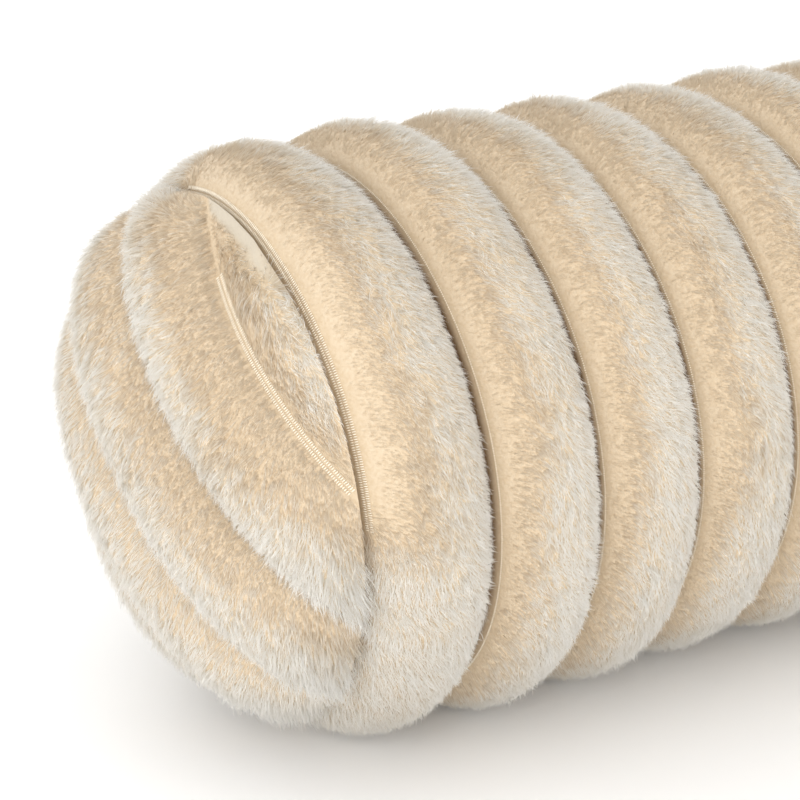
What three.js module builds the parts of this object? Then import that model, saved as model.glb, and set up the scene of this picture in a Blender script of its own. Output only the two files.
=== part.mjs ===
// Bolster cushion: a filled roll of ribbed long-pile fabric with two crowned, diagonally ribbed round ends.
// Millimetres, +Z up. The roll lies along X and rests on z = 0 under the middle of its length.
import * as THREE from 'three';

// Roll
const ribPitch = 38.5;        // from one sewn channel to the next
const crestRadius = 100;      // over the pile, at the top of a plain rib
const channelRadius = 87;     // at a sewn channel
const axisHeight = 97;        // the crests are pressed flat by what the radius has over this
const endRibReach = 23;       // from an end rib's crest to the round end's seam
const rimRadius = 86;         // of the seam that joins a round end to the roll
const ribRoundness = 2.3;     // power of a rib's section: 2 is an ellipse, more is squarer
const leanSlope = -0.076;     // the ribs lean to the left end: x for each z above the axis
const stepsAround = 48;

// Round ends
const panelGap = 0.3;         // between a round end and the roll
const panelEdge = 2.5;        // thickness at the rim
const crownHeight = 23;       // of the channels at the middle, over the rim's thickness
const crownPower = 2.4;
const panelRimPower = 9;      // how late the ribs drop towards the rim
const panelTurn = -40.5;      // degrees: the channels fall to the right, seen from outside
const panelSteps = 28;        // along a channel, closer together at the rim
const panelCloses = [7, 14];  // degrees from its tips where a round end gets its last rows
const panelRowsTo = 20;       // degrees from its tips where the rows across its ribs end

// Places across a rib, from channel to channel, where its section is drawn
const ribStations = [-1, -0.88, -0.58, 0, 0.58, 0.88];

// One row for each rib, from the left: how far it swells past the plain rib, and how far out of
// round it is, with the direction of its long way
const ribTable = [
  { swell: -0.5, outOfRound: 0.8, longWay: 60 },
  { swell: 1.5, outOfRound: 0.7, longWay: 110 },
  { swell: 0.6, outOfRound: 0.6, longWay: 95 },
  { swell: -0.4, outOfRound: 0.8, longWay: 20 },
  { swell: -0.9, outOfRound: 0.5, longWay: 160 },
  { swell: 1.2, outOfRound: 0.6, longWay: 85 },
  { swell: 0.3, outOfRound: 0.8, longWay: 140 },
  { swell: -0.7, outOfRound: 0.6, longWay: 40 },
  { swell: 0.9, outOfRound: 0.7, longWay: 75 },
  { swell: -0.3, outOfRound: 0.8, longWay: 120 },
];

// One row for each rib of a round end, from the lower left: its channels, measured from the middle
// towards the upper right, and its height over them. The outer two run on past the rim, which cuts them.
const panelRibTable = [
  { from: -88, to: -46, height: 21 },
  { from: -46, to: -8, height: 22 },
  { from: -8, to: 31, height: 20 },
  { from: 31, to: 66, height: 15 },
  { from: 66, to: 96, height: 4 },
];

const lastRib = ribTable.length - 1;
const rimPlace = ribPitch * lastRib / 2 + endRibReach;
const around = Array.from({ length: stepsAround }, (_, step) => 2 * Math.PI * step / stepsAround);

// Height of a sewn rib over its channels, from 1 on the crest to 0 at a channel
function ribSection(across) {
  return Math.pow(Math.max(0, 1 - Math.pow(Math.abs(across), ribRoundness)), 1 / ribRoundness);
}

// Every point leans with the cover and is pressed flat where the roll lies on the surface
function settle(x, y, z) {
  const height = Math.max(0, z);
  return new THREE.Vector3(x + leanSlope * (height - axisHeight), y, height);
}

// One closed body through rings of points, closed by a point at each end
function loft(firstPoint, rings, lastPoint) {
  const count = rings[0].length;
  const points = [firstPoint, ...rings.flat(), lastPoint];
  const last = points.length - 1;
  const triangles = [];
  for (let step = 0; step < count; step += 1) {
    const next = (step + 1) % count;
    const lastRing = 1 + (rings.length - 1) * count;
    triangles.push([0, 1 + next, 1 + step]);
    triangles.push([last, lastRing + step, lastRing + next]);
    for (let ring = 0; ring + 1 < rings.length; ring += 1) {
      const here = 1 + ring * count;
      const there = here + count;
      triangles.push([here + step, here + next, there + step]);
      triangles.push([here + next, there + next, there + step]);
    }
  }
  const geometry = new THREE.BufferGeometry().setFromPoints(points);
  geometry.setIndex(facingOut(points, triangles).flat());
  geometry.computeVertexNormals();
  return geometry;
}

// Turns the triangles round where together they enclose less than nothing
function facingOut(points, triangles) {
  const turned = new THREE.Vector3();
  const enclosed = triangles.reduce((sum, [a, b, c]) => {
    turned.crossVectors(points[b], points[c]);
    return sum + points[a].dot(turned);
  }, 0);
  return enclosed > 0 ? triangles : triangles.map(([a, b, c]) => [a, c, b]);
}

// Round the roll at one place across a rib
function rollRing(ribNumber, across) {
  const rib = ribTable[ribNumber];
  const crestPlace = ribPitch * (ribNumber - lastRib / 2);
  const atEnd = (ribNumber === 0 && across < 0) || (ribNumber === lastRib && across > 0);
  const reach = atEnd ? endRibReach : ribPitch / 2;
  const low = atEnd ? rimRadius : channelRadius;
  const longWay = THREE.MathUtils.degToRad(rib.longWay);
  return around.map((angle) => {
    const high = crestRadius + rib.swell + rib.outOfRound * Math.cos(2 * (angle - longWay));
    const radius = low + (high - low) * ribSection(across);
    const height = axisHeight + radius * Math.sin(angle);
    return settle(crestPlace + reach * across, radius * Math.cos(angle), height);
  });
}

// The filled roll: rib after rib, closed by a flat at each rim
function rollGeometry() {
  const rings = ribTable.flatMap((_, ribNumber) => ribStations.map((across) => rollRing(ribNumber, across)));
  rings.push(rollRing(lastRib, 1));
  return loft(settle(-rimPlace, 0, axisHeight), rings, settle(rimPlace, 0, axisHeight));
}

// Thickness of a round end at a place on its face, along its channels and across them
function panelThickness(along, offset) {
  const outward = Math.min(1, Math.hypot(along, offset) / rimRadius);
  const rib = panelRibTable.find(({ to }) => offset <= to);
  const across = 2 * (offset - rib.from) / (rib.to - rib.from) - 1;
  const crown = crownHeight * (1 - Math.pow(outward, crownPower));
  const swell = rib.height * ribSection(across) * Math.sqrt(1 - Math.pow(outward, panelRimPower));
  return panelEdge + crown + swell;
}

// Rows across a round end: the stations of each rib that fit in the rim, and the rows that close its tips
function panelRows() {
  const fromTip = (degrees) => rimRadius * Math.cos(THREE.MathUtils.degToRad(degrees));
  const stations = panelRibTable.flatMap(({ from, to }) => (
    ribStations.map((across) => (from + to + across * (to - from)) / 2)));
  const rows = stations.filter((offset) => Math.abs(offset) <= fromTip(panelRowsTo));
  rows.push(...panelCloses.flatMap((degrees) => [fromTip(degrees), -fromTip(degrees)]));
  return rows.sort((one, other) => one - other);
}

// A round end, side -1 on the left and 1 on the right: rows along its channels, each over its flat back
function panelGeometry(side) {
  const turn = THREE.MathUtils.degToRad(panelTurn);
  const back = rimPlace + panelGap;
  const place = (along, offset, thickness) => {
    const right = along * Math.cos(turn) - offset * Math.sin(turn);
    const up = along * Math.sin(turn) + offset * Math.cos(turn);
    return settle(side * (back + thickness), side * right, axisHeight + up);
  };
  const rings = panelRows().map((offset) => {
    const reach = Math.sqrt(rimRadius * rimRadius - offset * offset);
    const ring = [place(reach, offset, 0), place(-reach, offset, 0)];
    for (let step = 0; step <= panelSteps; step += 1) {
      const along = -reach * Math.cos(Math.PI * step / panelSteps);
      ring.push(place(along, offset, panelThickness(along, offset)));
    }
    return ring;
  });
  return loft(place(0, -rimRadius, panelEdge / 2), rings, place(0, rimRadius, panelEdge / 2));
}

function pileMesh(name, geometry, colour) {
  const material = new THREE.MeshStandardMaterial({ color: colour, roughness: 1, metalness: 0 });
  const mesh = new THREE.Mesh(geometry, material);
  mesh.name = name;
  return mesh;
}

const bolster = new THREE.Group();
bolster.add(pileMesh('body', rollGeometry(), 0xe3d3b4));
bolster.add(pileMesh('end_panel_left', panelGeometry(-1), 0xe6d8bc));
bolster.add(pileMesh('end_panel_right', panelGeometry(1), 0xe6d8bc));

// The origin is under the middle of the whole cushion
const extent = new THREE.Box3().setFromObject(bolster);
const middle = extent.getCenter(new THREE.Vector3());
bolster.position.set(-middle.x, -middle.y, 0);

export default bolster;
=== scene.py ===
import math

import bmesh
import bpy
import numpy as np
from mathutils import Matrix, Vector


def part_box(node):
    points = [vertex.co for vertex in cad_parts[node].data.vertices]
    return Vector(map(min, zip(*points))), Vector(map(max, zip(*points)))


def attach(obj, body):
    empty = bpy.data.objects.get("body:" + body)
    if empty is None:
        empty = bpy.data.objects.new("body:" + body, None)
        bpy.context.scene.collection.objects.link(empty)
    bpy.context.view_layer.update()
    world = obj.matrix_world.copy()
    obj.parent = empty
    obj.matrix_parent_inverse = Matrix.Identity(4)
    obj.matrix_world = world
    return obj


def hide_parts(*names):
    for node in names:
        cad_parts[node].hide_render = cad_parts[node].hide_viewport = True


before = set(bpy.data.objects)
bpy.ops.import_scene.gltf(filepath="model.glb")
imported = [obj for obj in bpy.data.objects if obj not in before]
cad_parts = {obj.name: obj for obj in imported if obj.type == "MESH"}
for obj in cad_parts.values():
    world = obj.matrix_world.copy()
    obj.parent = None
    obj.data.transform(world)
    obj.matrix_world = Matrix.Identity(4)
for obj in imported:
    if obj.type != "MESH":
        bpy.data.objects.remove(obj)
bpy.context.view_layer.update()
mm = 0.001
print("frame loaded:", sorted(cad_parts))

# What the whole cushion shares
cushion = {
    "ribs": 10,
    "pitch": 38.5 * mm,  # from one sewn channel to the next
    "crest": 100 * mm,  # radius over the pile on a plain rib
    "axis": 97 * mm,  # height of the roll's middle
    "endReach": 23 * mm,  # from an end rib's crest to the round end's seam
    "rim": 86 * mm,  # radius of that seam
    "lean": -0.076,  # the ribs lean to the left end: x for each z above the axis
    "roundness": 2.7,  # of a rib's section where its pile starts: 2 is an ellipse, more is squarer
    "slope": 1.9,  # and where its pile ends
    "rimSlope": 2.0,  # and beside a round end
    "ground": 1.4 * mm,  # the cloth lies this high on its pressed pile
    "turn": math.radians(-40.5),  # the end channels fall to the right, seen from outside
    "gap": 0.3 * mm,  # between a round end and the roll
}
ribSwells = [-0.5, 1.5, 0.6, -0.4, -0.9, 1.2, 0.3, -0.7, 0.9, -0.3]  # of each rib past the plain one, mm
bodyLow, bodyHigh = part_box("body")
shiftX = (bodyLow.x + bodyHigh.x) / 2  # the roll's own middle in the frame
lastRib = cushion["ribs"] - 1
rimPlace = cushion["pitch"] * lastRib / 2 + cushion["endReach"]


# Small helpers
def startClean():
    if bpy.context.object and bpy.context.object.mode != "OBJECT":
        bpy.ops.object.mode_set(mode="OBJECT")
    bpy.ops.object.select_all(action="DESELECT")


def choose(piece):
    startClean()
    piece.select_set(True)
    bpy.context.view_layer.objects.active = piece


def addPiece(name, mesh):
    piece = bpy.data.objects.new(name, mesh)
    bpy.context.scene.collection.objects.link(piece)
    return piece


def readPoints(piece, what="co"):
    flat = np.zeros(len(piece.data.vertices) * 3)
    piece.data.vertices.foreach_get(what, flat)
    return flat.reshape(-1, 3)


def writePoints(piece, points):
    piece.data.vertices.foreach_set("co", np.asarray(points, np.float32).ravel())
    piece.data.update()


def storeValues(piece, name, values):
    made = piece.data.attributes.new(name, "FLOAT", "POINT")
    made.data.foreach_set("value", np.asarray(values, np.float32))


def unit(vectors):
    return vectors / np.maximum(np.linalg.norm(vectors, axis=1, keepdims=True), 1e-9)


def alongCloth(vectors, normals):  # the direction of each along the cloth
    return unit(vectors - normals * (vectors * normals).sum(1, keepdims=True))


def ribSection(lay, start, stop):  # 1 on the crest, 0 at a channel
    power = np.where(lay < 0, start, stop)
    return np.maximum(0, 1 - np.abs(lay) ** power) ** (1 / power)


def leanOver(points):  # from the straight roll to the roll as it lies
    out = np.array(points, float)
    out[:, 2] = np.maximum(out[:, 2], 0)
    out[:, 0] += cushion["lean"] * (out[:, 2] - cushion["axis"]) + shiftX
    return out


def straighten(points):
    out = np.array(points, float)
    out[:, 0] -= cushion["lean"] * (out[:, 2] - cushion["axis"]) + shiftX
    return out


def chance(a, b, seed):  # a fixed random number for each cell of a grid
    value = np.sin(a * 127.1 + b * 311.7 + seed * 74.7) * 43758.5453
    return value - np.floor(value)


def slowNoise(a, b, size, seed):  # smooth, from -1 to 1
    x, y = a / size, b / size
    column, row = np.floor(x), np.floor(y)
    u, v = x - column, y - row
    u, v = u * u * (3 - 2 * u), v * v * (3 - 2 * v)
    low = chance(column, row, seed) * (1 - u) + chance(column + 1, row, seed) * u
    high = chance(column, row + 1, seed) * (1 - u) + chance(column + 1, row + 1, seed) * u
    return 2 * (low * (1 - v) + high * v) - 1


def turnAbout(vectors, axes, angles):
    c, s = np.cos(angles)[:, None], np.sin(angles)[:, None]
    return vectors * c + np.cross(axes, vectors) * s


# Shader maths as Python expressions
class Wire:
    def __init__(self, tree, socket=None):
        self.tree = tree
        self.socket = socket

    def node(self, kind, settings=None, inputs=None, output=0):
        made = self.tree.nodes.new(kind)
        for key, value in (settings or {}).items():
            if key == "stops":
                for spare in list(made.color_ramp.elements)[1:]:
                    made.color_ramp.elements.remove(spare)
                made.color_ramp.elements[0].position = value[0][0]
                made.color_ramp.elements[0].color = (*value[0][1], 1)
                for place, colour in value[1:]:
                    made.color_ramp.elements.new(place).color = (*colour, 1)
            else:
                setattr(made, key, value)
        for key, value in (inputs or {}).items():
            if isinstance(value, Wire):
                self.tree.links.new(value.socket, made.inputs[key])
            else:
                made.inputs[key].default_value = value
        return Wire(self.tree, made.outputs[output])

    def maths(self, operation, one, other):
        return self.node("ShaderNodeMath", {"operation": operation}, {0: one, 1: other})

    def __add__(self, other):
        return self.maths("ADD", self, other)

    def __radd__(self, other):
        return self.maths("ADD", other, self)

    def __sub__(self, other):
        return self.maths("SUBTRACT", self, other)

    def __rsub__(self, other):
        return self.maths("SUBTRACT", other, self)

    def __mul__(self, other):
        return self.maths("MULTIPLY", self, other)

    def mix(self, one, other):  # two colours, by this value
        return self.node("ShaderNodeMix", {"data_type": "RGBA"}, {0: self, 6: one, 7: other}, 2)

    def ramp(self, stops):
        return self.node("ShaderNodeValToRGB", {"stops": stops}, {"Fac": self})

    def grain(self, scale, detail=2.0):  # noise over the piece
        place = self.node("ShaderNodeTexCoord", None, None, 3)
        return self.node("ShaderNodeTexNoise", None, {"Vector": place, "Scale": scale, "Detail": detail})

    def into(self, shader, name):
        self.tree.links.new(self.socket, shader.inputs[name])


def newMaterial(name):
    material = bpy.data.materials.new(name)
    material.use_nodes = True
    tree = material.node_tree
    return material, tree.nodes["Principled BSDF"], Wire(tree)


# Camera
view = {
    "azimuth": math.radians(-30.5),
    "elevation": math.radians(20.3),
    "distance": 0.807,
    "target": Vector((-0.1359, 0, 0.103)),
    "lens": 108.5,
}


def addCamera():
    flat = math.cos(view["elevation"])
    back = Vector((math.sin(view["azimuth"]) * flat, -math.cos(view["azimuth"]) * flat,
                   math.sin(view["elevation"])))
    startClean()
    bpy.ops.object.camera_add(location=view["target"] + back * view["distance"])
    camera = bpy.context.object
    camera.rotation_euler = (-back).to_track_quat("-Z", "Y").to_euler()
    camera.data.lens = view["lens"]
    camera.data.sensor_width = 36
    camera.data.clip_start = 0.01
    bpy.context.scene.camera = camera


addCamera()
print("camera placed")

# Filling: the cloth swells between its seams
filling = {"pressure": 120.0, "frames": 20, "stiffness": 2.0, "bending": 0.1, "mass": 0.002}


def inflate(skin, sewn, most):
    start = readPoints(skin)
    group = skin.vertex_groups.new(name="sewn")
    group.add([int(i) for i in np.nonzero(sewn)[0]], 1.0, "REPLACE")
    choose(skin)
    cloth = skin.modifiers.new("filling", "CLOTH")
    cloth.settings.use_pressure = True
    cloth.settings.uniform_pressure_force = filling["pressure"]
    cloth.settings.effector_weights.gravity = 0
    cloth.settings.vertex_group_mass = "sewn"
    cloth.settings.mass = filling["mass"]
    cloth.settings.tension_stiffness = filling["stiffness"]
    cloth.settings.compression_stiffness = filling["stiffness"]
    cloth.settings.bending_stiffness = filling["bending"]
    cloth.collision_settings.use_collision = False
    cloth.point_cache.frame_start = 1
    cloth.point_cache.frame_end = filling["frames"]
    for number in range(1, filling["frames"] + 1):
        bpy.context.scene.frame_set(number)
    bpy.ops.object.modifier_apply(modifier="filling")
    bpy.context.scene.frame_set(1)
    moved = readPoints(skin) - start
    far = np.linalg.norm(moved, axis=1)
    print("  filling moved", skin.name, "by", round(far.mean() / mm, 2),
          "to", round(far.max() / mm, 2), "mm")
    moved *= np.minimum(1, most / np.maximum(far, 1e-9))[:, None]
    writePoints(skin, start + moved)
    skin.vertex_groups.clear()


# Roll's cloth
rollCloth = {
    "channel": 83.5 * mm,  # radius of the cloth at a channel
    "underPile": 2.3 * mm,  # how far it lies under the tips on a crest
    "around": 132,
    "ribSteps": 12,
    "startFill": 0.72,  # share of a rib's height before the filling swells it
    "mostSwell": 3.6 * mm,
    "lumps": 0.55 * mm,  # unevenness of the filling
    "rimLay": (-0.9655, 0.88),  # least and most lay at a rim, which has no groove and so gets no painted groove shade
    "thinGrooveShade": 0.014,  # added to the lay at the first channel, so that its painted groove shade is a thin line
}
rollRings = cushion["ribs"] * rollCloth["ribSteps"]


def acrossOf(ring):  # rib number and place across it, for a ring number
    rib = np.clip(np.floor(ring / rollCloth["ribSteps"]), 0, lastRib)
    return rib.astype(int), -np.cos(math.pi * (ring / rollCloth["ribSteps"] - rib))


def ribReach(rib, across):
    atEnd = ((rib == 0) & (across < 0)) | ((rib == lastRib) & (across > 0))
    return np.where(atEnd, cushion["endReach"], cushion["pitch"] / 2)


def rollRadius(rib, across, fill=1.0):
    high = cushion["crest"] - rollCloth["underPile"] + np.array(ribSwells)[rib] * mm
    start = np.where(rib == 0, cushion["rimSlope"], cushion["roundness"])
    section = ribSection(across, start, cushion["slope"])
    return rollCloth["channel"] + (high - rollCloth["channel"]) * section * fill


def crestPlace(rib):
    return cushion["pitch"] * (rib - lastRib / 2)


def lumpsRound(angle, number):
    waves = sum(np.cos(k * angle + 6.3 * chance(number, k, 5)) / math.sqrt(k) for k in range(3, 11))
    return waves * rollCloth["lumps"] / 1.6


def addRollCloth():
    startClean()
    length = 2 * rimPlace
    bpy.ops.mesh.primitive_cylinder_add(vertices=rollCloth["around"], radius=cushion["rim"], depth=length,
                                        end_fill_type="TRIFAN", rotation=(0, math.pi / 2, 0))
    skin = bpy.context.object
    skin.name = "roll_cloth"
    bpy.ops.object.transform_apply(location=True, rotation=True, scale=True)
    bpy.ops.object.mode_set(mode="EDIT")
    bpy.ops.mesh.select_mode(type="EDGE")
    for parts in (cushion["ribs"], rollCloth["ribSteps"]):  # first into ribs, then each rib into rings
        bpy.ops.mesh.select_all(action="DESELECT")
        edited = bmesh.from_edit_mesh(skin.data)
        for edge in edited.edges:  # the edges along the roll only
            edge.select_set(abs(edge.verts[0].co.x - edge.verts[1].co.x) > 0.1 * mm)
        bmesh.update_edit_mesh(skin.data)
        bpy.ops.mesh.subdivide(number_cuts=parts - 1)
    bpy.ops.object.mode_set(mode="OBJECT")
    flat = readPoints(skin)
    hub = np.hypot(flat[:, 1], flat[:, 2]) < cushion["rim"] / 2
    ring = np.round((flat[:, 0] / length + 0.5) * rollRings)
    rib, across = acrossOf(ring)
    angle = np.arctan2(flat[:, 2], flat[:, 1])
    radius = np.where(hub, 0, rollRadius(rib, across, rollCloth["startFill"]))
    place = crestPlace(rib) + ribReach(rib, across) * across
    writePoints(skin, np.stack([place, radius * np.cos(angle), radius * np.sin(angle)], 1))
    inflate(skin, hub | (np.abs(across) > 0.999), rollCloth["mostSwell"])
    lying = readPoints(skin)
    swollen = np.maximum(np.hypot(lying[:, 1], lying[:, 2]), 1e-6)
    for number in range(cushion["ribs"]):  # every crest comes to its height
        own = (rib == number) & ~hub
        crest = swollen[own & (np.abs(across) < 0.01)].mean()
        wanted = rollRadius(np.array(number), np.array(0.0))
        share = (wanted - rollCloth["channel"]) / (crest - rollCloth["channel"])
        grown = rollCloth["channel"] + (swollen[own] - rollCloth["channel"]) * share
        grown += lumpsRound(angle[own], number) * (1 - across[own] ** 2)
        lying[own, 1:] *= (grown / swollen[own])[:, None]
    lying[:, 2] = np.maximum(lying[:, 2] + cushion["axis"], cushion["ground"])
    writePoints(skin, leanOver(lying))
    # the lay also places the cloth's painted groove shade: clipped at the rims, and narrowed at the first
    # channel
    atRim = (ring < 2) | (ring > rollRings - 2)
    lay = np.where(atRim, np.clip(across, *rollCloth["rimLay"]), across)
    lay = lay + np.where(ring == rollCloth["ribSteps"], rollCloth["thinGrooveShade"], 0)
    storeValues(skin, "ring", ring)
    storeValues(skin, "lay", lay)
    bpy.ops.object.shade_smooth()
    return skin


rollSkin = addRollCloth()
print("roll's cloth made:", len(rollSkin.data.polygons), "faces")

# Cloth of the round ends. The rows go from the lower left rib to the upper right one, seen from outside
endRibs = [
    # tone is how much paler its pile is than the others'
    {"start": -88 * mm, "stop": -46 * mm, "height": 21 * mm, "rows": 13, "tone": 0.12},
    {"start": -46 * mm, "stop": -8 * mm, "height": 22 * mm, "rows": 14, "tone": 0.18},
    {"start": -8 * mm, "stop": 31 * mm, "height": 20 * mm, "rows": 14, "tone": 0.06},
    {"start": 31 * mm, "stop": 66 * mm, "height": 15 * mm, "rows": 13, "tone": -0.08},
    {"start": 66 * mm, "stop": 96 * mm, "height": 4 * mm, "rows": 8, "tone": -0.1},
]
endCloth = {
    "edge": 2.5 * mm,  # thickness over the pile at the rim
    "crown": 23 * mm,
    "crownPower": 2.4,
    "rimPower": 9,  # how late the ribs drop towards the rim
    "underPile": 1.6 * mm,
    "underChannel": 0.9 * mm,
    "roundness": 2.1,
    "slope": 2.4,
    "seamHalf": 1.9 * mm,  # the sewn seam lies flat this far to each side
    "bareFrom": 82 * mm,  # the backing shows beside the top of the rim, from here out
    "bareTo": -17 * mm,  # and as far as here along the rim
    "bareFade": 1.5 * mm,
    "seamLay": -0.93,  # no painted groove shade under the sewn seam
    "edgeRow": 0.9985,  # the outermost rows, against the rim
    "lastRow": 0.995,  # and the last of a rib's own rows
    "steps": 64,  # along a channel
    "startFill": 0.72,
    "mostSwell": 5 * mm,
}


def endColumn(key):
    return np.array([row[key] for row in endRibs])


endStops = endColumn("stop")
sewnRibs = len(endRibs) - 2  # the sewn seam lies between this rib and the next
seamFlats = 2 * endCloth["seamHalf"] / (endStops - endColumn("start"))
seamFlats[:sewnRibs] = 0  # share of a rib's half width that the seam takes


def endRibOf(offset):  # rib number, and the place across it the way that its pile lies
    number = np.clip(np.searchsorted(endStops, offset), 0, len(endRibs) - 1)
    start = endColumn("start")[number]
    across = 2 * (offset - start) / (endStops[number] - start) - 1
    return number, np.where(number == len(endRibs) - 1, across, -across)


def endThickness(along, offset, fill=1.0):
    outward = np.minimum(1, np.hypot(along, offset) / cushion["rim"])
    number, lay = endRibOf(offset)
    height = endColumn("height")[number]
    high = np.maximum(height - endCloth["underPile"], 0.3 * height)
    crown = endCloth["crown"] * (1 - outward ** endCloth["crownPower"])
    flat = seamFlats[number]
    lay = np.where(lay < 0, np.maximum(0, lay + 1 - flat) / (1 - flat) - 1, lay)
    section = ribSection(lay, endCloth["roundness"], endCloth["slope"])
    swell = high * section * np.sqrt(1 - outward ** endCloth["rimPower"])
    return endCloth["edge"] - endCloth["underChannel"] + crown + swell * fill


def endPoint(side, along, offset, thickness):  # straight, before it leans
    turn = cushion["turn"]
    right = along * math.cos(turn) - offset * math.sin(turn)
    up = along * math.sin(turn) + offset * math.cos(turn)
    place = side * (rimPlace + cushion["gap"] + thickness)
    return np.stack([place, side * right, cushion["axis"] + up], 1)


def endPlace(side, points):  # back from a straight point: along, offset, thickness
    turn = cushion["turn"]
    right, up = side * points[:, 1], points[:, 2] - cushion["axis"]
    along = right * math.cos(turn) + up * math.sin(turn)
    offset = -right * math.sin(turn) + up * math.cos(turn)
    return along, offset, side * points[:, 0] - rimPlace - cushion["gap"]


def endRows():
    edge = cushion["rim"] * endCloth["edgeRow"]
    rows = []
    for rib in endRibs:
        middle, half = (rib["start"] + rib["stop"]) / 2, (rib["stop"] - rib["start"]) / 2
        for step in range(rib["rows"]):
            offset = middle - half * math.cos(math.pi * step / rib["rows"])
            if abs(offset) < edge * endCloth["lastRow"]:
                rows.append(offset)
    rows += [endRibs[-1]["start"] - endCloth["seamHalf"], endRibs[-1]["start"] + endCloth["seamHalf"]]
    return np.array(sorted([-edge, *rows, edge]))


def addEndCloth():
    startClean()
    rows = endRows()
    bpy.ops.mesh.primitive_grid_add(x_subdivisions=endCloth["steps"], y_subdivisions=len(rows) - 1, size=2)
    skin = bpy.context.object
    flat = readPoints(skin)
    offset = rows[np.round((flat[:, 1] + 1) / 2 * (len(rows) - 1)).astype(int)]
    half = np.sqrt(cushion["rim"] ** 2 - offset ** 2)
    along = half * np.sin(flat[:, 0] * math.pi / 2)
    lay = endRibOf(offset)[1]
    thickness = endThickness(along, offset, endCloth["startFill"])
    writePoints(skin, endPoint(-1, along, offset, thickness))
    rim = np.hypot(along, offset) > 0.998 * cushion["rim"]
    seam = lay < seamFlats[endRibOf(offset)[0]] - 0.998
    inflate(skin, rim | seam | (np.abs(lay) > 0.999), endCloth["mostSwell"])
    lying = readPoints(skin)
    number = endRibOf(offset)[0]
    plain = endThickness(along, offset, 0)
    swell = endPlace(-1, lying)[2] - plain
    for rib in range(len(endRibs)):  # every rib comes to its height
        own = number == rib
        share = (endThickness(along[own], offset[own]) - plain[own]).sum() / swell[own].sum()
        lying[own, 0] = -(rimPlace + cushion["gap"] + plain[own] + swell[own] * share)
    writePoints(skin, lying)
    choose(skin)
    bpy.ops.object.mode_set(mode="EDIT")
    bpy.ops.mesh.select_mode(type="EDGE")
    bpy.ops.mesh.select_all(action="DESELECT")
    bpy.ops.mesh.select_non_manifold()
    bpy.ops.mesh.edge_face_add()  # the flat back
    bpy.ops.mesh.select_all(action="SELECT")
    bpy.ops.mesh.normals_make_consistent(inside=False)
    bpy.ops.object.mode_set(mode="OBJECT")
    bare = (offset > endRibs[-1]["start"]) & (along < endCloth["bareTo"])
    outside = np.hypot(along, offset) - endCloth["bareFrom"]
    # the sewn seam's lay keeps it out of the painted groove shade
    storeValues(skin, "lay", np.where(seam, endCloth["seamLay"], lay))
    storeValues(skin, "bare", bare * np.clip(outside / endCloth["bareFade"], 0, 1))
    bpy.ops.object.shade_smooth()
    return skin


leftEnd = addEndCloth()
leftEnd.name = "left_end_cloth"
rightEnd = leftEnd.copy()
rightEnd.data = leftEnd.data.copy()
rightEnd.name = "right_end_cloth"
bpy.context.scene.collection.objects.link(rightEnd)
straightEnd = readPoints(leftEnd)
writePoints(leftEnd, leanOver(straightEnd))
writePoints(rightEnd, leanOver(straightEnd * np.array([-1, -1, 1])))  # half a turn about the upright axis
print("round ends' cloth made:", len(leftEnd.data.polygons), "faces each")


# Pile
pile = {
    "guards": 0.24e6,  # long hairs in a square metre of cloth
    "unders": 1.80e6,  # short hairs in it
    "guardWidth": 0.24 * mm,
    "underWidth": 0.29 * mm,
    "clump": 4.2 * mm,  # size of the clumps that hairs lean into
    "pull": 0.46,
    "pullFrom": -0.9,  # across a rib, where the pull starts
    "pullRate": 1.5,
    "pullLength": 5 * mm,  # of a hair that has the whole pull
    "clumpTurn": math.radians(20),
    "hairTurn": math.radians(17),
    "slowTurn": math.radians(22),
    "slowSize": 22 * mm,  # of the slow turn's waves
    "clumpLift": math.radians(6),
    "hairLift": 0.08,  # radians
    "liftRange": (0.06, 1.3),  # radians off the cloth
    "droop": 0.35,  # radians that a hair's outer half leans lower
    "twist": 0.45,  # radians
    "looseFrom": -0.8,  # across a rib, where disorder starts
    "looseRate": 1.6,
    "meanLength": 0.97,
    "clumpLength": 0.26,  # between clumps
    "hairLength": (0.72, 1.12),
    "guardShare": 1.22,  # length of a long hair against the common one
    "gather": (0.35, 0.65),  # share of the pull at a hair's middle and tip
    "clear": (0.35, 0.7),  # how far they stay off the cloth
    "leastClear": 0.15,  # share of that in smooth pile
    "clumpTone": 0.2,
    "hairTone": 0.06,
    "slowTone": 0.1,
    "toneSize": 30 * mm,  # of the slow tone's waves
    "toneRange": (0.02, 0.94),
    "strip": 0.02,  # width of a hair's strip of tones
    "widthSpread": (0.7, 1.15),
    "waist": 0.85,  # width at a long hair's middle against its root
    "bladeShare": 0.09,  # of its own face in a hair's shading
    "shadeSpread": 0.025,
    "lowest": 0.25 * mm,
    "smoothTo": -0.90,  # across a rib of the roll, where the first hairs stand
    "smoothLow": 0.07,  # how much sooner they stand low down
    "smoothFade": 0.25,
    "lowSpan": 60 * mm,  # the pile gets fuller, and is painted paler, over this height
    "lowStart": 0.3,  # and is this full at the roll's middle
    "lowFuller": 0.1,
    # painted light: tone added low down, so the pile shows paler there as if lit more brightly
    "lowPaintedLight": 0.18,
    "firstPaintedLight": 0.06,  # the same on the first rib
    "overHeld": 0.93,  # share by which tips are held back at a channel
    "channelClear": 0.1 * mm,
    "sheetRib": 2.6,  # from rib to rib on the clumps' flat sheet
    "sheetWidth": 24,  # of half a rib on it, mm
}
layPlaces = [-1, -0.86, -0.62, -0.35, 0, 0.4, 0.7, 0.9, 1]  # across a rib, the way that its pile lies
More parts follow.
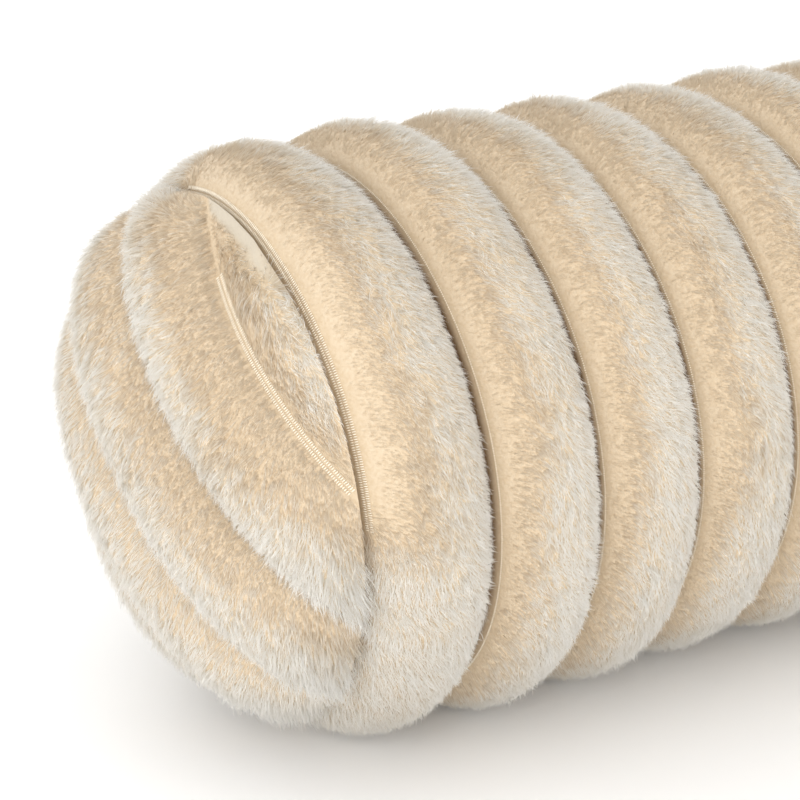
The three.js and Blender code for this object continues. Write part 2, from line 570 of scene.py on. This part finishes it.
rollLay = {
    "seed": 10,
    "loose": 0.1,  # least disorder
    "length": [0.8, 1.1, 2.0, 4.0, 5.2, 5.4, 4.9, 3.6, 2.2],  # mm
    "lift": [10, 11, 18, 33, 40, 40, 34, 26, 20],  # degrees off the cloth
    "along": [1.0, 1.0, 0.9, 0.6, 0.4, 0.36, 0.5, 0.9, 1.0],  # pull along the lay
    "down": [0.1, 0.2, 0.5, 1.0, 1.6, 1.7, 1.2, 0.6, 0.3],  # pull of the hair's weight
    # from tan over brown to cream and grey cream
    "tone": [0.06, 0.06, 0.16, 0.30, 0.50, 0.62, 0.76, 0.88, 0.92],
}
endLay = {
    "seed": 40,
    "loose": 0.6,
    "length": [2.2, 2.8, 3.8, 4.8, 5.6, 5.6, 4.8, 3.6, 2.4],
    "lift": [22, 24, 30, 36, 40, 38, 28, 18, 12],
    "along": [0.6, 0.6, 0.5, 0.4, 0.36, 0.45, 0.7, 0.9, 1.0],
    "down": [0.8, 0.9, 1.0, 1.2, 1.3, 1.2, 0.8, 0.5, 0.3],
    "tone": [0.24, 0.23, 0.28, 0.43, 0.54, 0.62, 0.72, 0.80, 0.84],
}
endPile = {
    "seamBare": -28 * mm,  # along the sewn seam, where it is bare from
    "seamShare": 0.8,  # of its flat that is bare
    "bareClear": 1.1,
    "rimFrom": 0.8,  # share of the rim's radius where the pile spreads out
    "rimFade": 0.2,
    "spread": 0.9,
    "sheet": (1.25, 1.1),  # stretch of the clumps' flat sheet
    "ribClear": 0.4 * mm,  # hairs stay this far inside their rib
    "rimHeld": 0.85,  # share by which tips are held back at the rim
    "rimFree": 0.75,  # less by this where they may hang over it
    "rimLeast": 1.2 * mm,  # thickness under tips past the rim
    "rimLonger": 0.2,
    "tuftLonger": 0.7,
    "tuftRise": math.radians(38),
    "capFrom": 0.99,  # the flat back starts at this share of the rim's radius
    "capUnder": 0.6 * mm,  # and lies this far under the rim's edge
}
rimView = {
    "start": -5,  # degrees round an end where its rim's sewing comes into sight
    "startFade": 14,
    "stop": 108,  # and where it goes out of sight
    "stopFade": 10,
    "tuft": 66,  # the middle of the top rib's overhang
    "tuftHalf": 12,
    "tuftFull": 1.3,
}


def clothOf(skin, names):
    mesh = skin.data
    mesh.calc_loop_triangles()
    corners = np.zeros(len(mesh.loop_triangles) * 3, int)
    mesh.loop_triangles.foreach_get("vertices", corners)
    cloth = {"points": readPoints(skin), "normals": readPoints(skin, "normal")}
    cloth["corners"] = corners.reshape(-1, 3)
    for name in names:
        values = np.zeros(len(mesh.vertices), np.float32)
        mesh.attributes[name].data.foreach_get("value", values)
        cloth[name] = values.astype(float)
    a, b, c = (cloth["points"][cloth["corners"][:, k]] for k in range(3))
    cloth["areas"] = np.linalg.norm(np.cross(b - a, c - a), axis=1) / 2
    return cloth


def scatter(cloth, chosen, density, dice, names):
    areas = np.where(chosen, cloth["areas"], 0)
    total = np.cumsum(areas)
    count = int(total[-1] * density)
    face = np.searchsorted(total, dice.random(count) * total[-1])
    one, two = np.sqrt(dice.random(count)), dice.random(count)
    parts = np.stack([1 - one, one * (1 - two), one * two], 1)
    corners = cloth["corners"][np.minimum(face, len(areas) - 1)]
    roots = {name: (cloth[name][corners] * parts).sum(1) for name in names}
    roots["points"] = (cloth["points"][corners] * parts[:, :, None]).sum(1)
    roots["normals"] = unit((cloth["normals"][corners] * parts[:, :, None]).sum(1))
    return roots


def lowDown(points):  # 0 on the upper half of the roll, 1 near the ground
    return np.clip((cushion["axis"] - points[:, 2]) / pile["lowSpan"] + pile["lowStart"], 0, 1)


def thinned(roots, lay, bare, dice):  # the cloth beside a channel shows smooth
    first = pile["smoothTo"] - pile["smoothLow"] * lowDown(roots["points"])
    kept = dice.random(len(lay)) < np.clip((lay - first) / pile["smoothFade"], 1 - bare, 1)
    return {name: values[kept] for name, values in roots.items()}, lay[kept]


def rimTurn(points, side):  # degrees round an end from its right side up, seen from outside
    return np.degrees(np.arctan2(points[:, 2] - cushion["axis"], side * points[:, 1]))


def rimShown(points, side):  # 1 where the sewing of a rim shows, else 0
    turn = rimTurn(points, side)
    return (np.clip((turn - rimView["start"]) / rimView["startFade"], 0, 1)
            * np.clip((rimView["stop"] - turn) / rimView["stopFade"], 0, 1))


def rimTuft(points, side):  # 1 where the top rib of a round end hangs over the rim
    far = (rimTurn(points, side) - rimView["tuft"]) / rimView["tuftHalf"]
    return np.clip(rimView["tuftFull"] - far ** 2, 0, 1)


def clumpOf(a, b, size, seed):  # nearest clump: the way to its middle, and its own cell
    best = np.full(len(a), 1e9)
    toA, toB, cellA, cellB = (np.zeros(len(a)) for _ in range(4))
    column, row = np.floor(a / size), np.floor(b / size)
    for i in (-1, 0, 1):
        for j in (-1, 0, 1):
            ca, cb = column + i, row + j
            offA = (ca + chance(ca, cb, seed)) * size - a
            offB = (cb + chance(ca, cb, seed + 1)) * size - b
            far = offA * offA + offB * offB
            near = far < best
            best = np.where(near, far, best)
            toA, toB = np.where(near, offA, toA), np.where(near, offB, toB)
            cellA, cellB = np.where(near, ca, cellA), np.where(near, cb, cellB)
    return toA, toB, cellA, cellB


def growHairs(roots, lay, flow, table, sheet, dice, long, hold, stretch=1.0, paler=0.0, rise=0.0):
    # sheet holds each root's place on the flat cloth and the two directions there
    count, normals, seed = len(lay), roots["normals"], table["seed"]
    a, b, wayA, wayB = sheet
    toA, toB, cellA, cellB = clumpOf(a, b, pile["clump"], seed)
    luck = [chance(cellA, cellB, seed + 2 + k) for k in range(4)]
    loose = np.clip((lay - pile["looseFrom"]) * pile["looseRate"], table["loose"], 1)
    turn = (luck[0] * 2 - 1) * pile["clumpTurn"] + dice.normal(0, pile["hairTurn"], count)
    turn += slowNoise(a, b, pile["slowSize"], seed + 8) * pile["slowTurn"]
    flow = turnAbout(flow, normals, turn * loose)
    lift = np.radians(np.interp(lay, layPlaces, table["lift"]))
    lift += ((luck[1] * 2 - 1) * pile["clumpLift"] + dice.normal(0, pile["hairLift"], count)) * loose
    length = np.interp(lay, layPlaces, table["length"]) * mm
    share = pile["meanLength"] + pile["clumpLength"] * (luck[2] - 0.5) * loose
    length *= stretch * share * dice.uniform(*pile["hairLength"], count)
    pull = pile["pull"] * np.clip((lay - pile["pullFrom"]) * pile["pullRate"], 0, 1)
    pull = pull * np.minimum(1, length / pile["pullLength"])
    if long:
        length *= pile["guardShare"]
    lift = np.clip(lift + rise, *pile["liftRange"])
    lower = lift - pile["droop"]
    gather = (wayA * toA[:, None] + wayB * toB[:, None]) * pull[:, None]
    rising = flow * np.cos(lift)[:, None] + normals * np.sin(lift)[:, None]
    falling = flow * np.cos(lower)[:, None] + normals * np.sin(lower)[:, None]
    root = roots["points"]
    half = (length * 0.5)[:, None]
    clear = np.clip(loose, pile["leastClear"], 1) * mm
    middle = hold(root + rising * half + gather * pile["gather"][0], pile["clear"][0] * clear)
    tip = hold(middle + falling * half + gather * pile["gather"][1], pile["clear"][1] * clear)
    width = turnAbout(unit(np.cross(normals, flow)), flow, dice.normal(0, pile["twist"], count))
    stray = (luck[3] - 0.5) * pile["clumpTone"] + dice.normal(0, pile["hairTone"], count)
    stray = stray + slowNoise(a, b, pile["toneSize"], seed + 9) * pile["slowTone"]
    tone = np.interp(lay, layPlaces, table["tone"]) + stray * loose + paler
    return root, middle, tip, width, np.clip(tone, *pile["toneRange"]), normals


def joinHairs(name, grown, dice):
    points, faces, uvs, normals = [], [], [], []
    base = 0
    for (root, middle, tip, width, tone, normal), long in grown:
        count = len(root)
        blade = unit(np.cross(width, tip - root))
        outer = np.where((blade * normal).sum(1, keepdims=True) < 0, -1.0, 1.0)  # a hair's face looks out
        blade, width = blade * outer, width * outer
        thick = pile["guardWidth" if long else "underWidth"]
        wide = width * (thick / 2) * dice.uniform(*pile["widthSpread"], (count, 1))
        if long:
            waist = wide * pile["waist"]
            shape = [root - wide, root + wide, middle + waist, middle - waist, tip]
            ends = [(0, 0), (1, 0), (0.95, 0.55), (0.05, 0.55), (0.5, 1)]
            parts = [(0, 1, 2), (0, 2, 3), (3, 2, 4)]
        else:
            shape = [root - wide, root + wide, tip]
            ends = [(0, 0), (1, 0), (0.5, 0.85)]
            parts = [(0, 1, 2)]
        corner = len(shape)
        points.append(np.stack(shape, 1).reshape(-1, 3))
        number = base + np.arange(count)[:, None, None] * corner
        faces.append((number + np.array(parts)[None]).reshape(-1, 3))
        place = np.stack([np.stack([tone + u * pile["strip"], np.full(count, v)], 1) for u, v in ends], 1)
        uvs.append(place[:, np.array(parts).ravel()].reshape(-1, 2))
        jitter = dice.normal(0, pile["shadeSpread"], (count, 3))
        soft = unit(normal + blade * pile["bladeShare"] + jitter)
        normals.append(np.repeat(soft, corner, 0))
        base += count * corner
    points, faces = np.concatenate(points), np.concatenate(faces)
    mesh = bpy.data.meshes.new(name)
    mesh.vertices.add(len(points))
    mesh.vertices.foreach_set("co", points.astype(np.float32).ravel())
    mesh.loops.add(len(faces) * 3)
    mesh.loops.foreach_set("vertex_index", faces.astype(np.int32).ravel())
    mesh.polygons.add(len(faces))
    mesh.polygons.foreach_set("loop_start", np.arange(0, len(faces) * 3, 3, dtype=np.int32))
    mesh.update(calc_edges=True)
    mesh.uv_layers.new(name="OFBake").data.foreach_set("uv", np.concatenate(uvs).astype(np.float32).ravel())
    mesh.polygons.foreach_set("use_smooth", np.ones(len(faces), bool))
    mesh.normals_split_custom_set_from_vertices(np.concatenate(normals).astype(np.float32))
    return addPiece(name, mesh)


def rollHold(rib):
    reach = ribReach(np.array(rib), np.array(1.0))
    last = crestPlace(rib) + reach - pile["channelClear"]  # beside its right channel

    def hold(points, clear):
        straight = straighten(points)
        over = np.maximum(0, straight[:, 0] - last)
        straight[:, 0] -= over * pile["overHeld"]  # tips hang over the channel, but only just
        up = straight[:, 2] - cushion["axis"]
        radius, angle = np.hypot(straight[:, 1], up), np.arctan2(up, straight[:, 1])
        number = np.floor(straight[:, 0] / cushion["pitch"] + cushion["ribs"] / 2)
        number = np.clip(number, 0, lastRib).astype(int)
        across = (straight[:, 0] - crestPlace(number)) / (cushion["pitch"] / 2)
        across = across * (cushion["pitch"] / 2) / ribReach(number, across)
        radius = np.maximum(radius, rollRadius(number, np.clip(across, -1, 1)) + clear)
        straight[:, 1] = radius * np.cos(angle)
        straight[:, 2] = cushion["axis"] + radius * np.sin(angle)
        straight[:, 2] = np.maximum(straight[:, 2], pile["lowest"] + clear * 0.5)
        return leanOver(straight)

    return hold


def growRollRib(cloth, rib):
    dice = np.random.default_rng(100 + rib)
    ringOfFace = cloth["ring"][cloth["corners"]].mean(1)
    steps = rollCloth["ribSteps"]
    chosen = (ringOfFace > rib * steps) & (ringOfFace < (rib + 1) * steps) & ~cloth["cap"]
    grown = []
    for long in (True, False):
        roots = scatter(cloth, chosen, pile["guards" if long else "unders"], dice, ["ring"])
        lay = acrossOf(np.clip(roots["ring"], rib * steps, (rib + 1) * steps - 1e-6))[1]
        bare = rimShown(roots["points"], -1) if rib == 0 else np.ones(len(lay))
        least = -0.05 - 0.95 * bare  # full pile reaches the rim where its sewing is hidden
        roots, lay = thinned(roots, np.maximum(lay, least), bare, dice)
        low = lowDown(roots["points"])
        lay = lay + low * pile["lowFuller"] * (1 - lay)  # the pile is fuller low down
        normals = roots["normals"]
        along = unit(np.array([[1.0, 0, 0]]) - normals * normals[:, :1])
        down = np.array([[0, 0, -1.0]]) + normals * normals[:, 2:]
        flow = along * np.interp(lay, layPlaces, rollLay["along"])[:, None]
        flow += down * np.interp(lay, layPlaces, rollLay["down"])[:, None]
        angle = np.arctan2(roots["points"][:, 1], roots["points"][:, 2] - cushion["axis"])
        place = (rib * pile["sheetRib"] + lay) * pile["sheetWidth"] * mm
        sheet = (place, angle * cushion["crest"], along, np.cross(along, normals))
        # painted light: the pile is made paler towards the ground
        paler = low * pile["lowPaintedLight" if rib else "firstPaintedLight"]
        hairs = growHairs(roots, lay, unit(flow), rollLay, sheet, dice, long, rollHold(rib), paler=paler)
        grown.append((hairs, long))
    return joinHairs("roll_pile_%02d" % (rib + 1), grown, dice)


def endHold(side, low, high, free):
    def hold(points, clear):
        along, offset, thickness = endPlace(side, straighten(points))
        offset = np.clip(offset, low, high)  # within its own rib
        far = np.hypot(along, offset)
        past = np.maximum(far - cushion["rim"], 0)
        held = endPile["rimHeld"] - endPile["rimFree"] * free
        keep = (far - past * held) / np.maximum(far, 1e-6)
        along, offset = along * keep, offset * keep
        least = np.where(past == 0, endThickness(along, offset) + clear, endPile["rimLeast"])
        straight = endPoint(side, along, offset, np.maximum(thickness, least))
        straight[:, 2] = np.maximum(straight[:, 2], pile["lowest"] + clear)
        return leanOver(straight)

    return hold


def growEnd(cloth, side, name):
    dice = np.random.default_rng(300 + side)
    turn = cushion["turn"]
    offsetWay = np.array([[0, -side * math.sin(turn), math.cos(turn)]])
    grown = []
    for long in (True, False):
        roots = scatter(cloth, ~cloth["cap"], pile["guards" if long else "unders"], dice, ["bare"])
        along, offset, _ = endPlace(side, straighten(roots["points"]))
        number, lay = endRibOf(offset)
        seam = (lay < endPile["seamShare"] * seamFlats[number] - 1) & (along > endPile["seamBare"])
        kept = (dice.random(len(lay)) > roots["bare"] * endPile["bareClear"]) & ~seam
        roots = {key: values[kept] for key, values in roots.items()}
        number, lay, along, offset = number[kept], lay[kept], along[kept], offset[kept]
        normals = roots["normals"]
        way = np.where(number == len(endRibs) - 1, 1.0, -1.0)[:, None] * offsetWay
        across3 = alongCloth(way, normals)
        down = np.array([[0, 0, -1.0]]) + normals * normals[:, 2:]
        outward = np.hypot(along, offset) / cushion["rim"] - endPile["rimFrom"]
        outward = np.clip(outward / endPile["rimFade"], 0, 1)
        spread = roots["points"] * np.array([[0, 1, 1]]) - np.array([[0, 0, cushion["axis"]]])
        spread = alongCloth(spread, normals)
        flow = across3 * np.interp(lay, layPlaces, endLay["along"])[:, None]
        flow += (down * np.interp(lay, layPlaces, endLay["down"])[:, None]
                 + spread * (outward * endPile["spread"])[:, None])
        upward = alongCloth(offsetWay, normals)
        sheet = (offset * endPile["sheet"][0], along * endPile["sheet"][1], upward,
                 unit(np.cross(normals, across3)))
        shown = rimShown(roots["points"], side)
        top = number > sewnRibs
        free = np.where(top, rimTuft(roots["points"], side), 1 - shown)  # may hang over the rim
        low = endColumn("start")[number] + endPile["ribClear"]
        high = endStops[number] - endPile["ribClear"]
        hold = endHold(side, low, high, free)
        paler = endColumn("tone")[number]
        near = np.clip(side * roots["points"][:, 1] / cushion["rim"], 0, 1)  # tufts hang over the rim here
        near = np.where(top, 1, near) * outward * free
        stretch = 1 + outward * endPile["rimLonger"] + near * endPile["tuftLonger"]
        rise = near * outward * endPile["tuftRise"]
        hairs = growHairs(roots, lay, unit(flow), endLay, sheet, dice, long, hold, stretch, paler, rise)
        grown.append((hairs, long))
    return joinHairs(name, grown, dice)


rollSurface = clothOf(rollSkin, ["ring"])
rollStraight = straighten(rollSurface["points"])
rollSurface["hub"] = np.hypot(rollStraight[:, 1], rollStraight[:, 2] - cushion["axis"]) < cushion["rim"] / 2
rollSurface["cap"] = rollSurface["hub"][rollSurface["corners"]].any(1)  # the flats under the round ends
ribPiles = [growRollRib(rollSurface, rib) for rib in range(cushion["ribs"])]
print("roll's pile grown:", sum(len(piece.data.polygons) for piece in ribPiles), "triangles")
endPiles = []
for side, skin, name in ((-1, leftEnd, "left_end_pile"), (1, rightEnd, "right_end_pile")):
    endSurface = clothOf(skin, ["bare"])
    along, offset, thick = endPlace(side, straighten(endSurface["points"]))
    outer = np.hypot(along, offset) > endPile["capFrom"] * cushion["rim"]
    back = outer & (thick < endCloth["edge"] - endPile["capUnder"])
    endSurface["cap"] = back[endSurface["corners"]].all(1)  # the flat back
    endPiles.append(growEnd(endSurface, side, name))
print("round ends' pile grown:", sum(len(piece.data.polygons) for piece in endPiles), "triangles")


# Sewing
sewing = {
    "stitch": (0.22 * mm, 0.34 * mm, 0.14 * mm),  # half sizes of one stitch along a channel
    "stitchPitch": 0.75 * mm,
    "stitchRing": 1.1,  # from a channel, in rings of the roll's cloth
    "stitchUp": 0.15 * mm,  # over the cloth
    "tooth": (0.95 * mm, 0.21 * mm, 0.22 * mm),  # half sizes of one loop of the sewn seam
    "toothUp": 0.25 * mm,
    "toothSpan": 0.5 * mm,  # over which a loop follows the cloth
    "rimTooth": (0.85 * mm, 0.16 * mm, 0.20 * mm),  # and of one loop of the overlocked rim
    "rimToothUp": 0.12 * mm,
    "toothPitch": 0.75 * mm,
    "ladderFrom": -0.5,  # the pile hides the seam's upper end
    "ladderTo": 0.97,
    "rowGap": 1.8 * mm,  # between the seam's two rows of loops
    "rimRows": (0.38, 0.92),  # places of the rim's rows, in rings
}


def threadMould(plain):  # a plain one has few faces
    startClean()
    if plain:
        bpy.ops.mesh.primitive_cone_add(vertices=4, radius1=1, depth=2, end_fill_type="NOTHING")
    else:
        bpy.ops.mesh.primitive_ico_sphere_add(subdivisions=1, radius=1)
    mould = bpy.context.object
    points = readPoints(mould)
    faces = np.array([list(face.vertices) for face in mould.data.polygons])
    bpy.data.objects.remove(mould)
    return points, faces


stitchMould, toothMould = threadMould(True), threadMould(False)


def sew(name, rows, size, mould):  # each row has the loops' middles, ways and ups
    middles, ways, ups = (np.concatenate(part) for part in zip(*rows))
    sides = np.cross(ups, ways)
    shape = mould[0] * np.array(size)
    points = (middles[:, None] + ways[:, None] * shape[None, :, :1] + sides[:, None] * shape[None, :, 1:2]
              + ups[:, None] * shape[None, :, 2:])
    faces = np.arange(len(middles))[:, None, None] * len(shape) + mould[1][None]
    mesh = bpy.data.meshes.new(name)
    mesh.from_pydata(points.reshape(-1, 3).tolist(), [], faces.reshape(-1, 3).tolist())
    mesh.polygons.foreach_set("use_smooth", np.ones(len(mesh.polygons), bool))
    return addPiece(name, mesh)


def alongRing(spot, pitch):
    # even steps round the roll, on the cloth, at a ring number that may lie between rings
    ring = min(math.floor(spot), rollRings - 1)
    share = spot - ring
    points, normals, numbers = rollSurface["points"], rollSurface["normals"], rollSurface["ring"]
    rows = []
    for number in (ring, ring + 1):
        chosen = np.nonzero((numbers == number) & ~rollSurface["hub"])[0]
        place = points[chosen]
        rows.append(chosen[np.argsort(np.arctan2(place[:, 2] - cushion["axis"], place[:, 1]))])
    line = points[rows[0]] * (1 - share) + points[rows[1]] * share
    out = unit(normals[rows[0]] * (1 - share) + normals[rows[1]] * share)
    return evenSteps(np.vstack([line, line[:1]]), np.vstack([out, out[:1]]), pitch)


def evenSteps(line, out, pitch):
    far = np.concatenate([[0], np.cumsum(np.linalg.norm(np.diff(line, axis=0), axis=1))])
    steps = np.linspace(0, far[-1], int(far[-1] / pitch) + 1)[:-1]

    def at(place, values):
        return np.stack([np.interp(place, far, values[:, k]) for k in range(3)], 1)

    middle, up = at(steps, line), unit(at(steps, out))
    way = unit(at(steps + pitch / 4, line) - middle)
    return middle, alongCloth(way, up), up


def addChannelSewing():
    rows = []
    for channel in range(1, cushion["ribs"]):
        spot = channel * rollCloth["ribSteps"] + sewing["stitchRing"]
        middle, way, up = alongRing(spot, sewing["stitchPitch"])
        rows.append((middle + up * sewing["stitchUp"], way, up))
    return sew("channel_stitches", rows, sewing["stitch"], stitchMould)


def addRimSewing(side, name):
    rows = []
    for inward in sewing["rimRows"]:
        middle, way, up = alongRing(inward if side < 0 else rollRings - inward, sewing["toothPitch"])
        shown = rimShown(middle, side) > 0.5
        middle, way, up = middle[shown], way[shown], up[shown]
        rows.append((middle + up * sewing["rimToothUp"], np.cross(up, way), up))
    return sew(name, rows, sewing["rimTooth"], toothMould)


def addEndSewing(side, name):
    rows = []
    topSeam = endRibs[-1]["start"]
    half = math.sqrt(cushion["rim"] ** 2 - topSeam ** 2) * sewing["ladderTo"]
    along = np.arange(half * sewing["ladderFrom"], half, sewing["toothPitch"])
    for row in (-0.5, 0.5):
        spots = []
        for step in (-sewing["toothSpan"], 0, sewing["toothSpan"]):
            offset = np.full(len(along), topSeam + row * sewing["rowGap"] + step)
            thickness = endThickness(along, offset) + sewing["toothUp"]
            spots.append(leanOver(endPoint(side, along, offset, thickness)))
        way = unit(spots[2] - spots[0])
        up = np.array([[float(side), 0, 0]]) - way * (way[:, :1] * side)
        rows.append((spots[1], way, unit(up)))
    return sew(name, rows, sewing["tooth"], toothMould)


threads = [addChannelSewing(),
           addRimSewing(-1, "left_rim_overlock"), addRimSewing(1, "right_rim_overlock"),
           addEndSewing(-1, "left_end_seam"), addEndSewing(1, "right_end_seam")]
print("sewing made:", sum(len(piece.data.polygons) for piece in threads), "triangles")


# Finishes
finish = {
    "roots": [(0.0, (0.66, 0.565, 0.43)), (0.12, (0.66, 0.56, 0.425)), (0.28, (0.58, 0.47, 0.335)),
              (0.48, (0.75, 0.71, 0.63)), (0.75, (0.80, 0.775, 0.715)), (1.0, (0.775, 0.75, 0.70))],
    "tips": [(0.0, (0.68, 0.585, 0.45)), (0.12, (0.69, 0.605, 0.475)), (0.28, (0.79, 0.73, 0.63)),
             (0.48, (0.89, 0.88, 0.845)), (0.75, (0.90, 0.89, 0.86)), (1.0, (0.885, 0.875, 0.845))],
    # the cloth's colour across a rib; the dark stops at both ends are painted shade in the channels'
    # grooves
    "cloth": [(0.0, (0.11, 0.065, 0.035)), (0.0140, (0.14, 0.085, 0.045)), (0.0165, (0.54, 0.43, 0.295)),
              (0.07, (0.57, 0.465, 0.335)), (0.22, (0.57, 0.46, 0.325)), (0.33, (0.55, 0.44, 0.305)),
              (0.5, (0.62, 0.515, 0.375)), (0.95, (0.60, 0.50, 0.37)), (0.99, (0.30, 0.20, 0.12))],
    "bare": (0.50, 0.44, 0.35),
    "speck": (0.72, 0.6, 0.45, 1),
    "through": 0.5,  # share of light through a hair
    "thread": (0.88, 0.81, 0.68),
    "floor": (0.92, 0.92, 0.915),
}


def pileFinish():
    material, shader, wire = newMaterial("cream_pile")
    place = wire.node("ShaderNodeUVMap", {"uv_map": "OFBake"})
    tone = wire.node("ShaderNodeSeparateXYZ", None, {0: place}, 0)
    reach = wire.node("ShaderNodeSeparateXYZ", None, {0: place}, 1)
    grade = wire.node("ShaderNodeMapRange", {"interpolation_type": "SMOOTHSTEP"},
                      {"Value": reach, "From Min": 0.0, "From Max": 0.62})
    colour = grade.mix(tone.ramp(finish["roots"]), tone.ramp(finish["tips"]))
    colour.into(shader, "Base Color")
    (0.95 - reach * 0.15).into(shader, "Roughness")
    shader.inputs["Specular IOR Level"].default_value = 0.1
    glow = wire.node("ShaderNodeBsdfTranslucent", None, {"Color": colour})
    both = wire.node("ShaderNodeMixShader", None, {0: finish["through"], 2: glow})
    wire.tree.links.new(shader.outputs[0], both.socket.node.inputs[1])
    wire.tree.links.new(both.socket, wire.tree.nodes["Material Output"].inputs["Surface"])
    return material


def clothFinish():
    material, shader, wire = newMaterial("pile_backing_painted_groove_shade")
    lay = wire.node("ShaderNodeAttribute", {"attribute_name": "lay"}, None, 2)
    fine = wire.grain(900.0, 3.0)
    spot = lay * 0.5 + 0.5
    # painted shade: this ramp darkens the cloth in each channel's groove
    plain = spot.ramp(finish["cloth"])
    speck = wire.node("ShaderNodeMapRange", None, {"Value": fine, "From Min": 0.35, "From Max": 0.65,
                                                  "To Min": 0.0, "To Max": 0.3})
    darker = wire.node("ShaderNodeMix", {"data_type": "RGBA", "blend_type": "MULTIPLY"},
                       {0: speck, 6: plain, 7: finish["speck"]}, 2)
    bare = wire.node("ShaderNodeAttribute", {"attribute_name": "bare"}, None, 2)
    bare.mix(darker, (*finish["bare"], 1)).into(shader, "Base Color")
    (0.88 + (fine - 0.5) * 0.2).into(shader, "Roughness")
    bump = wire.node("ShaderNodeBump", None, {"Strength": 0.5, "Distance": 0.0006, "Height": fine})
    bump.into(shader, "Normal")
    shader.inputs["Specular IOR Level"].default_value = 0.15
    shader.inputs["Sheen Weight"].default_value = 0.15
    return material


def threadFinish():
    material, shader, wire = newMaterial("seam_thread")
    fine = wire.grain(700.0)
    colour = fine.ramp([(0.3, tuple(part * 0.86 for part in finish["thread"])), (0.7, finish["thread"])])
    colour.into(shader, "Base Color")
    (0.5 + fine * 0.25).into(shader, "Roughness")
    shader.inputs["Specular IOR Level"].default_value = 0.35
    return material


for pieces, material in (([*ribPiles, *endPiles], pileFinish()),
                         ([rollSkin, leftEnd, rightEnd], clothFinish()), (threads, threadFinish())):
    for piece in pieces:
        piece.data.materials.append(material)
print("finishes set")

# What each piece rides on; the frame's parts that the pieces replace are hidden
for piece in [rollSkin, leftEnd, rightEnd, *ribPiles, *endPiles, *threads]:
    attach(piece, "root")
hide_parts("body")
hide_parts("end_panel_left")
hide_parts("end_panel_right")

# Studio
studio = {
    "key": {"place": (-1.75, -1.75, 0.75), "size": 2.4, "watts": 33},
    "fill": {"place": (1.5, -2.2, 0.8), "size": 2.2, "watts": 18},
    "left": {"place": (-2.4, 0.1, 0.3), "size": 2.2, "watts": 20},
    "top": {"place": (-0.1, -0.3, 2.6), "size": 2.6, "watts": 8},
    "low": {"place": (-1.1, -1.7, 0.08), "size": 1.4, "watts": 13},
    "back": {"place": (0.9, 2.4, 1.1), "size": 2.4, "watts": 26},
}
worldStrength = 0.93


def addLight(name):
    light = studio[name]
    startClean()
    bpy.ops.object.light_add(type="AREA", location=light["place"])
    lamp = bpy.context.object
    lamp.name = "studio_" + name
    lamp.data.size = light["size"]
    lamp.data.energy = light["watts"]
    lamp.rotation_euler = (view["target"] - Vector(light["place"])).to_track_quat("-Z", "Y").to_euler()


def addFloor():
    startClean()
    bpy.ops.mesh.primitive_plane_add(size=14)
    floor = bpy.context.object
    floor.name = "studio_floor"
    material, shader, wire = newMaterial("pale_floor")
    fine = wire.grain(3.0)
    darker = tuple(part * 0.985 for part in finish["floor"])
    fine.ramp([(0.3, finish["floor"]), (0.7, darker)]).into(shader, "Base Color")
    shader.inputs["Roughness"].default_value = 0.9
    floor.data.materials.append(material)


for lightName in studio:
    addLight(lightName)
addFloor()
world = bpy.data.worlds.new("studio_world")
world.use_nodes = True
world.node_tree.nodes["Background"].inputs["Color"].default_value = (1, 1, 1, 1)
world.node_tree.nodes["Background"].inputs["Strength"].default_value = worldStrength
bpy.context.scene.world = world
bpy.context.scene.view_settings.view_transform = "Standard"
print("studio set")
